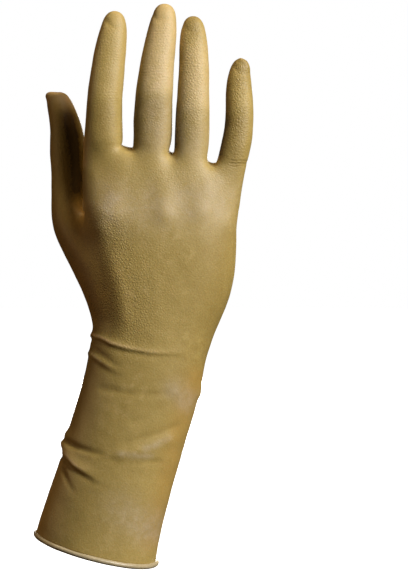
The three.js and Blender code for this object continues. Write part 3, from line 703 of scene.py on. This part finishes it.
# %% Tabulate the areas
# An area adds amount at the start of its line and last at the end, and fades over its reach.
Area = namedtuple("Area", "name face reach amount last line")
AREAS = {
    "tone": [
        # Painted light on the knuckles and the thumb side of the back, which the key lamp catches.
        Area("index knuckle", "back", 8, 0.2, 0.2, [(11, 184), (9, 198)]),
        Area("thumb side of the back", "back", 7, 0.1, 0.2, [(7, 208), (5, 186), (9, 160), (13, 135)]),
        Area("middle knuckle", "back", 6, 0.1, 0.1, [(39, 182), (38, 197)]),
        Area("index root", "back", 9, -0.5, -0.2, [(3, 240), (3, 222)]),
        # Painted light, bounced onto the outer side of the index.
        Area("outer side of the index", "wrap", 4, 0.5, 0.5, [(1, 285), (-3.8, 248), (-5, 220), (-6, 193)]),
        Area("middle root", "back", 9, -0.45, -0.2, [(32, 242), (31, 226)]),
        # Painted shade at the little finger's root.
        Area("little root", "back", 8, -0.6, -0.4, [(77, 234), (75, 218)]),
        Area("index end", "back", 7, -0.2, -0.1, [(7, 262), (8, 280)]),
        # Painted shade on the ring and little tips.
        Area("ring tip", "back", 6, -1.1, -0.8, [(54, 293), (54, 284)]),
        Area("little tip", "back", 6, -0.4, -0.3, [(81, 268), (80, 258)]),
        # Painted shade, as a cast shadow, where one finger faces the next.
        Area("inner side of the middle", "wrap", 2.3, -1.2, -0.6, [(21, 224), (23, 246), (24.5, 262)]),
        Area("inner side of the ring", "wrap", 2.2, -1.4, -1, [(44, 223), (44.8, 247), (46.5, 275)]),
        Area("inner side of the little", "wrap", 2.6, -1.2, -0.8, [(68, 218), (71.5, 235), (72, 255)]),
        Area("little-finger side", "back", 14, -0.35, -0.35, [(70, 170), (70, 150), (64, 120), (50, 90)]),
        # Painted shade on the ball of the thumb, and painted light on the shaded thumb side of the cuff.
        Area("ball of the thumb", "wrap", 11, -0.9, -0.8, [(-16, 172), (-8, 156), (1, 138)]),
        Area("cuff thumb side", "back", 9, 0.3, 0.4, [(2, 92), (-14, 45), (-26, 16)]),
        # Part stretched film, part painted highlight along the ridges of the folds; the lip of the slack
        # ridge is a painted highlight.
        Area("ridge of the wrist fold", "wrap", 0.9, 1.3, 0.3,
             [(-2.5, 119.5), (3.3, 118.4), (9.4, 115.6), (16.5, 113.6), (31.4, 111), (40, 110.6)]),
        Area("ridge of the second fold", "wrap", 0.8, 1, 0.2,
             [(-1.5, 109.2), (0.5, 107.8), (5.5, 103.2), (9, 101.2)]),
        Area("lip of the slack ridge", "wrap", 1, 1.5, 0,
             [(-17.5, 57), (-15, 53), (-10.5, 48.8), (-3, 44.6)]),
        # Painted shade inside the thumb; painted light on its flank, its web and its tip, where the lamps
        # above reach them.
        Area("inner side of the thumb", "wrap", 6, -1.6, -1.6, [(-15, 238), (-11, 218), (-10, 199)]),
        Area("flank of the thumb", "both", 2.2, 1.4, 1.2, [(-15, 250), (-10, 240), (-7, 228), (-6, 212)]),
        Area("web of the thumb", "wrap", 4, 0.6, 0.6, [(-8.5, 191), (-8, 184)]),
        Area("thumb tip", "both", 5, 0.6, 0.6, [(-26, 251), (-19, 248)]),
    ],
    "dust": [
        # Painted highlights on the knuckles and on the middle and ring fingers, where the lamps catch them;
        # on the flat ridge and the cuff it is dust.
        Area("over the knuckles", "back", 14, 0.35, 0.45, [(10, 190), (40, 190), (66, 194)]),
        Area("on the index knuckle", "back", 4, 0.4, 0.3, [(10, 189), (11, 192)]),
        Area("on the middle finger", "back", 12, 0.2, 0.35, [(37, 280), (33, 230)]),
        Area("on the ring finger", "back", 12, 0.1, 0.35, [(54, 270), (54, 225)]),
        Area("upper streak on the flat ridge", "back", 1.7, 0.5, 0.35, [(28, 58), (34, 60), (41, 63.5)]),
        Area("lower streak on the flat ridge", "back", 1.7, 0.4, 0.4, [(14, 55.5), (22, 54.3), (31, 54)]),
        Area("high on the cuff", "back", 6, 0.45, 0.45, [(44, 90), (51, 83)]),
        Area("low on the cuff", "back", 10, 0.35, 0.5, [(14, 25), (30, 13)]),
    ],
    # Painted warm light: gold on the little-finger edge of the cuff and the end of the thumb, where warm
    # lamps edge the glove, and warm brown in the shade of the ball of the thumb and the thumb side of the
    # cuff.
    "golden": [
        Area("little-finger side of the cuff", "back", 7, 0.45, 0.4, [(57, 95), (51, 80), (32, 6)]),
        Area("ball of the thumb", "wrap", 14, 0.5, 0.6, [(-16, 178), (-8, 158), (-1, 140)]),
        Area("end of the thumb", "both", 7, 0.6, 0.3, [(-24, 252), (-18, 240)]),
        Area("thumb side of the cuff", "wrap", 5, 0.1, 0.25, [(0, 100), (-18, 50), (-32, 8)]),
    ],
    "pebbled": [
        Area("thumb side of the back", "back", 13, 1.2, 0.8, [(6, 176), (12, 150), (17, 122)]),
        Area("over the knuckles", "back", 12, 0.3, 0.4, [(10, 205), (66, 208)]),
        Area("middle of the back", "back", 14, 0.35, 0.3, [(32, 165), (33, 130)]),
        Area("index finger", "back", 10, 0.6, 0.4, [(9, 285), (4, 235)]),
        Area("middle finger", "back", 10, 0.5, 0.5, [(37, 285), (31, 235)]),
        Area("ring finger", "back", 10, 1, 0.8, [(54, 285), (54, 235)]),
        Area("little finger", "back", 9, 1.4, 1, [(80, 262), (79, 225)]),
    ],
    "crossed": [
        Area("index end joint", "back", 5, 0.6, 0.6, [(6, 271), (14, 271)]),
        Area("index middle joint", "back", 6, 0.5, 0.5, [(1, 250), (12, 250)]),
        Area("middle end joint", "back", 6, 1, 0.6, [(30, 281), (40, 281)]),
        Area("middle middle joint", "back", 6, 1, 0.8, [(28, 261), (40, 261)]),
        Area("ring end joint", "back", 6, 0.8, 0.8, [(48, 268), (60, 268)]),
        Area("ring middle joint", "back", 5, 0.5, 0.5, [(48, 246), (60, 246)]),
        Area("little joint", "back", 5, 0.6, 0.6, [(75, 244), (84, 244)]),
        Area("little root", "wrap", 2, 3, 3, [(84, 213.8), (76, 213)]),
    ],
}
# Above this height each of these fingers is bent and its film is paler by this much,
# partly as stretched film and partly as painted light where the bent part faces the lamps.
BENT_FROM = {"index": (249, 0.2), "middle": (251, 0.65), "ring": (243, 0.55)}
BEND_BLUR = 3  # how far above and below that height the change reaches
print("Areas:", {mask: len(rows) for mask, rows in AREAS.items()})

# %% Work out the masks
NARROW = 2  # a dip that reaches less far than this, in mm, is a crease

masks = {}
for mask, rows in AREAS.items():
    masks[mask] = np.zeros(len(spots))
    for area in rows:
        masks[mask] += added_by(area, area.amount, area.reach, area.reach)

side, up = spots[:, 0], spots[:, 2]
lines = [
    np.interp(up, [row.up for row in rows], [row.side for row in rows])
    for rows in FINGERS.values()
]
nearest = np.argmin([abs(side - line) for line in lines], axis=0)
for finger, (height, paler) in enumerate(BENT_FROM.values()):
    bent = smoothstep(up, height - BEND_BLUR, height + BEND_BLUR)
    masks["tone"] += paler * bent * (nearest == finger)

# Painted shade: the narrow dips are darkened as shade would darken them.
masks["crease"] = np.zeros(len(spots))
for fold in FOLDS:
    if fold.rise < 0 and min(fold.above, fold.below) < NARROW:
        masks["crease"] -= added_by(fold, fold.rise, fold.above, fold.below)
print("Masks:", ", ".join(masks))

# %% Write them to the mesh
for mask, values in masks.items():
    attribute = film.data.attributes.new(mask, "FLOAT", "POINT")
    attribute.data.foreach_set("value", values.astype(np.float32))
    print(mask, "from", round(values.min(), 2), "to", round(values.max(), 2))

# %% [markdown]
# ## The film's wall
# So far the film is a sheet without thickness, open at the mouth. A real one is a quarter of
# a millimetre thick, too thin for a sound mesh, so the wall is drawn a little thicker. Solidify
# adds it inwards, which keeps the outside where it is, and closes the rim at the mouth.

# %% Thicken the film
WALL = 0.45

wall = film.modifiers.new("wall", "SOLIDIFY")
wall.thickness = WALL * MM
wall.offset = -1
wall.use_rim = True
bpy.ops.object.modifier_apply(modifier=wall.name)
print("Triangles of the film:", 2 * len(film.data.polygons))

# %% [markdown]
# ## The rolled bead
# When the film has dried, its edge is rolled up on itself into a bead, three millimetres
# thick, with the line of the last turn showing on top. A bevelled curve would give a plain
# ring. A circle that is spun round the mouth gives the same ring in rows and columns, and
# then each column can be notched and set on the leaning ellipse of the mouth.

# %% Spin a ring
BEAD_RADIUS = 1.5
BEAD_POINTS = 32
BEAD_STEPS = 128
RING_RADIUS = 30
SAME_PLACE = 0.01  # points nearer than this are one

bpy.ops.object.select_all(action="DESELECT")
bpy.ops.mesh.primitive_circle_add(
    vertices=BEAD_POINTS,
    radius=BEAD_RADIUS * MM,
    location=(RING_RADIUS * MM, 0, 0),
    rotation=(math.pi / 2, 0, 0),
)
bead = bpy.context.object
bead.name = "rolled_bead"
bpy.ops.object.transform_apply(location=True, rotation=True)
bpy.ops.object.mode_set(mode="EDIT")
bpy.ops.mesh.select_all(action="SELECT")
bpy.ops.mesh.spin(steps=BEAD_STEPS, angle=2 * math.pi, center=(0, 0, 0), axis=(0, 0, 1))
bpy.ops.mesh.select_all(action="SELECT")
bpy.ops.mesh.remove_doubles(threshold=SAME_PLACE * MM)
bpy.ops.mesh.normals_make_consistent(inside=False)
bpy.ops.object.mode_set(mode="OBJECT")
bpy.ops.object.shade_smooth()
print("Faces of the bead:", len(bead.data.polygons))

# %% Set it on the mouth
# Angles round the mouth are 0 on the little-finger side, angles round the roll 0 outwards.
BEAD_DROP = 0.4  # how far the roll's middle is below the film's edge
NOTCH_ANGLE, NOTCH_WIDTH = 62, 13  # of the line of the last turn, in degrees round the roll
NOTCH_DEPTH = 0.2  # as a share of the roll's radius
UNEVEN = 0.07  # how much that radius varies, as a share of it
UNEVEN_PLACES = 3  # how quickly it varies round the mouth
CURL_WIDTH = 24  # the roll stands off on the little-finger side, over this many degrees
CURL_OUT, CURL_UP = 0.7, 0.5  # and by this much, in mm

mouth = PALM[0]
across, through = leaning_axes(mouth)
upwards = across.cross(through)
half_width, half_depth = (mouth.width - WALL) / 2, (mouth.depth - WALL) / 2
for vert in bead.data.vertices:
    turn = math.atan2(vert.co.y, vert.co.x)
    outwards = math.hypot(vert.co.x, vert.co.y) / MM - RING_RADIUS
    roll = math.atan2(vert.co.z / MM, outwards)
    notch = NOTCH_DEPTH * math.exp(-(((math.degrees(roll) - NOTCH_ANGLE) / NOTCH_WIDTH) ** 2))
    round_mouth = Vector((UNEVEN_PLACES * math.cos(turn), UNEVEN_PLACES * math.sin(turn), 0))
    girth = 1 - notch + UNEVEN * noise.noise(round_mouth)
    curl = math.exp(-((math.degrees(turn) / CURL_WIDTH) ** 2))
    middle = across * half_width * math.cos(turn) + through * half_depth * math.sin(turn)
    away = across * half_depth * math.cos(turn) + through * half_width * math.sin(turn)
    away.normalize()
    spot = Vector((mouth.side, mouth.back, mouth.up)) + middle - upwards * BEAD_DROP
    spot += away * (BEAD_RADIUS * girth * math.cos(roll) + CURL_OUT * curl)
    spot += upwards * (BEAD_RADIUS * girth * math.sin(roll) + CURL_UP * curl)
    vert.co = spot * MM
bead.data.update()
print("Bead in mm:", np.ptp(vectors_of(bead.data.vertices, "co") / MM, axis=0).round(1))

# %% [markdown]
# ## Maths on sockets
# A procedural material is mostly arithmetic: noise times a mask, plus a tint. In the node
# editor each sum is a node and two wires. Wrapping a socket in a small class lets the sum be
# written as Python and still makes the same nodes.


# %% Wrap a socket and a material
class Signal:
    """A number or colour that runs along a wire. Adding to it adds a Math node."""

    def __init__(self, finish, socket):
        self.finish, self.socket = finish, socket

    def maths(self, operation, *values):
        return self.finish.node("Math", {"operation": operation}, dict(enumerate(values)))

    def __add__(self, other):
        return self.maths("ADD", self, other)

    def __sub__(self, other):
        return self.maths("SUBTRACT", self, other)

    def __rsub__(self, other):
        return self.maths("SUBTRACT", other, self)

    def __mul__(self, other):
        return self.maths("MULTIPLY", self, other)

    __radd__, __rmul__ = __add__, __mul__

    def between(self, low, high):
        """0 below low, 1 above high and a smooth rise from one to the other."""
        settings = {"interpolation_type": "SMOOTHSTEP"}
        return self.finish.node("MapRange", settings, {"Value": self, "From Min": low, "From Max": high})


class Finish:
    """A material whose nodes are added one at a time."""

    def __init__(self, name):
        self.material = bpy.data.materials.new(name)
        self.material.use_nodes = True
        self.tree = self.material.node_tree
        self.shader = self.tree.nodes["Principled BSDF"]

    def node(self, kind, settings, inputs, output=0):
        """Adds a node: its type, its settings, and the values or links of its sockets."""
        node = self.tree.nodes.new("ShaderNode" + kind)
        for name, value in settings.items():
            if name == "stops":
                self.set_stops(node.color_ramp, value)
            else:
                setattr(node, name, value)
        for name, value in inputs.items():
            self.feed(node.inputs[name], value)
        return Signal(self, node.outputs[output])

    def set_stops(self, ramp, stops):
        while len(ramp.elements) < len(stops):
            ramp.elements.new(1)
        for element, (position, colour) in zip(ramp.elements, stops):
            element.position = position
            element.color = (*colour, 1)

    def feed(self, socket, value):
        if isinstance(value, Signal):
            self.tree.links.new(value.socket, socket)
        else:
            socket.default_value = value

    def mix(self, share, first, second):
        """A mix of two colours. A Mix node takes them at sockets 6 and 7 and gives one at 2."""
        settings = {"data_type": "RGBA", "clamp_factor": True}
        return self.node("Mix", settings, {"Factor": share, 6: first, 7: second}, 2)

    def attribute(self, name):
        """A mask that was written to the mesh."""
        return self.node("Attribute", {"attribute_name": name}, {}, "Fac")

    def noise(self, size, detail):
        """Noise with features of this size in millimetres, from 0 to 1."""
        spot = self.node("TexCoord", {}, {}, "Object")
        inputs = {"Vector": spot, "Scale": 1 / (size * MM), "Detail": detail}
        return self.node("TexNoise", {}, inputs)

    def bump(self, height):
        """Bends the shading by a height in millimetres."""
        self.feed(self.shader.inputs["Normal"], self.node("Bump", {}, {"Distance": MM, "Height": height}))


print("Signals add, take away and multiply; finishes add nodes")

# %% [markdown]
# ## The latex
# Dipped latex is tan and nearly matt, cloudy where the powder has settled, with a fine grain
# that catches the light. One colour ramp runs from dark to pale: slack film and painted shade
# at its dark end, stretched film and painted light at its pale end. The areas of tone, the
# painted shade in the creases, the clouds and the grain all add to the one number that the
# ramp turns into colour. Dust with painted highlights, and painted warm light, are other
# colours, so they are mixed in after it.

# %% Set the tone of the latex
latex = Finish("latex")
clouds = latex.noise(26, 3).between(0.42, 0.7)
blotches = latex.noise(5, 3)
mottle = latex.noise(1.8, 2)
grain = latex.noise(0.9, 3)

# How far along the ramp each of them moves the colour.
TONE_SHARE, CREASE_SHADE_SHARE, CLOUD_SHARE = 0.4, 0.18, 0.1
BLOTCH_SHARE, MOTTLE_SHARE, GRAIN_SHARE = 0.08, 0.1, 0.25
MIDDLE = 0.5  # of the ramp, and of a noise

# The creases are darkened along the ramp as painted shade.
tone = MIDDLE + latex.attribute("tone") * TONE_SHARE - latex.attribute("crease") * CREASE_SHADE_SHARE
tone = tone + clouds * blotches.between(0.5, 0.66) * CLOUD_SHARE
for pattern, share in ((blotches, BLOTCH_SHARE), (mottle, MOTTLE_SHARE), (grain, GRAIN_SHARE)):
    tone = tone + (pattern - MIDDLE) * share
print("Nodes up to the tone:", len(latex.tree.nodes))

# %% Colour it
# The ramp's darkest stops mostly carry painted shade, between the fingers and inside the thumb.
LATEX_STOPS = [
    (0.0, (0.08, 0.048, 0.011)),
    (0.1, (0.22, 0.143, 0.035)),
    (0.3, (0.32, 0.218, 0.056)),
    (0.5, (0.415, 0.294, 0.084)),
    (0.7, (0.52, 0.372, 0.136)),
    (1.0, (0.72, 0.51, 0.24)),
]
# The next two colours are the pale one for dust and painted highlights, and the warm one for painted warm
# light.
DUST_AND_HIGHLIGHT = (0.52, 0.42, 0.30, 1)
PAINTED_WARM_LIGHT_COLOUR = (0.44, 0.235, 0.045, 1)
LEAST_ROUGHNESS = 0.4

ramp = latex.node("ValToRGB", {"stops": LATEX_STOPS}, {"Fac": tone})
# Dust, and the painted highlights on the knuckles and fingers, lie in blotches.
dust = latex.attribute("dust") * (mottle * 0.5 + blotches * 1.5 - 0.3)  # it lies in blotches
# The painted warm light is mixed in nearly evenly.
golden = latex.attribute("golden") * (blotches + 0.4)  # and the gold is nearly even
colour = latex.mix(dust, latex.mix(golden, ramp, PAINTED_WARM_LIGHT_COLOUR), DUST_AND_HIGHLIGHT)
latex.feed(latex.shader.inputs["Base Color"], colour)
roughness = LEAST_ROUGHNESS + mottle * 0.16 + blotches * 0.1
latex.feed(latex.shader.inputs["Roughness"], roughness)
print("Nodes up to the colour:", len(latex.tree.nodes))

# %% [markdown]
# ### Its relief
# The grain is too fine to model, and so is the pebbling, so both are bump. A Voronoi texture's
# distance to the nearest cell edge makes the pebbles. A wave texture that is bent by noise
# makes the cross lines over the joints.

# %% Roughen it
PEBBLE_SIZE = 1.5
PEBBLE_EDGE = 0.35  # how far in from its edge a pebble rises, as a share of its size
PEBBLED_ALL_OVER = 0.12  # the film is faintly pebbled everywhere
LINE_SPACING = 1.6
WAVE_TURNS = 20 / (2 * math.pi)  # how many bands a wave texture of scale 1 has in a metre
GRAIN_HEIGHT, MOTTLE_HEIGHT, PEBBLE_HEIGHT, LINE_HEIGHT = 0.09, 0.03, 0.11, 0.05

spot = latex.node("TexCoord", {}, {}, "Object")
cells = latex.node(
    "TexVoronoi",
    {"feature": "DISTANCE_TO_EDGE"},
    {"Vector": spot, "Scale": 1 / (PEBBLE_SIZE * MM)},
)
waves = latex.node(
    "TexWave",
    {"bands_direction": "Z"},
    {
        "Vector": spot,
        "Scale": 1 / (LINE_SPACING * MM * WAVE_TURNS),
        "Distortion": 5,
        "Detail": 2,
        "Detail Scale": 1,
    },
    "Fac",
)
pebbles = cells.between(0, PEBBLE_EDGE) * (PEBBLED_ALL_OVER + latex.attribute("pebbled"))
height = grain * GRAIN_HEIGHT + mottle * MOTTLE_HEIGHT + pebbles * PEBBLE_HEIGHT
latex.bump(height + waves * latex.attribute("crossed") * LINE_HEIGHT)
latex.shader.inputs["Subsurface Weight"].default_value = 0.08
latex.shader.inputs["Subsurface Radius"].default_value = (1, 0.6, 0.25)
latex.shader.inputs["Subsurface Scale"].default_value = 0.8 * MM
film.data.materials.append(latex.material)
print("Nodes of the latex:", len(latex.tree.nodes))

# %% [markdown]
# ## The bead's finish
# Rolled up, the same latex is several turns thick, so it is paler, and rolling has polished
# it. It gets a ramp of its own and a thin gloss.

# %% Mix the bead
BEAD_STOPS = [(0.2, (0.30, 0.24, 0.12)), (0.55, (0.46, 0.37, 0.22)), (0.9, (0.62, 0.52, 0.38))]
PATCH_SHARE, SPECK_SHARE = 0.7, 0.3  # of the number that the ramp turns into colour
PATCH_HEIGHT, SPECK_HEIGHT = 0.15, 0.03
POLISH = 0.25  # the least roughness, and that of the gloss

roll_latex = Finish("bead_latex")
patches = roll_latex.noise(9, 3)
specks = roll_latex.noise(1.2, 2)
tone = patches * PATCH_SHARE + specks * SPECK_SHARE
ramp = roll_latex.node("ValToRGB", {"stops": BEAD_STOPS}, {"Fac": tone})
roll_latex.feed(roll_latex.shader.inputs["Base Color"], ramp)
roll_latex.feed(roll_latex.shader.inputs["Roughness"], POLISH + specks * 0.2)
roll_latex.shader.inputs["Coat Weight"].default_value = 0.3
roll_latex.shader.inputs["Coat Roughness"].default_value = POLISH
roll_latex.bump(specks * SPECK_HEIGHT + patches * PATCH_HEIGHT)
bead.data.materials.append(roll_latex.material)
print("Nodes of the bead:", len(roll_latex.tree.nodes))

# %% [markdown]
# ## Fastening the pieces to the frame
# The film stands for the seven solids that the glove's film was parted into, and the bead for
# its own. Both ride on the one body, as nothing on a glove moves by itself.

# %% Ride and replace
FINGER_NAMES = list(FINGERS)

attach(film, "root")
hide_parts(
    "cuff", "palm_and_back", "thumb", *(f"{name}_finger" for name in FINGER_NAMES)
)
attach(bead, "root")
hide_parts("cuff_bead")
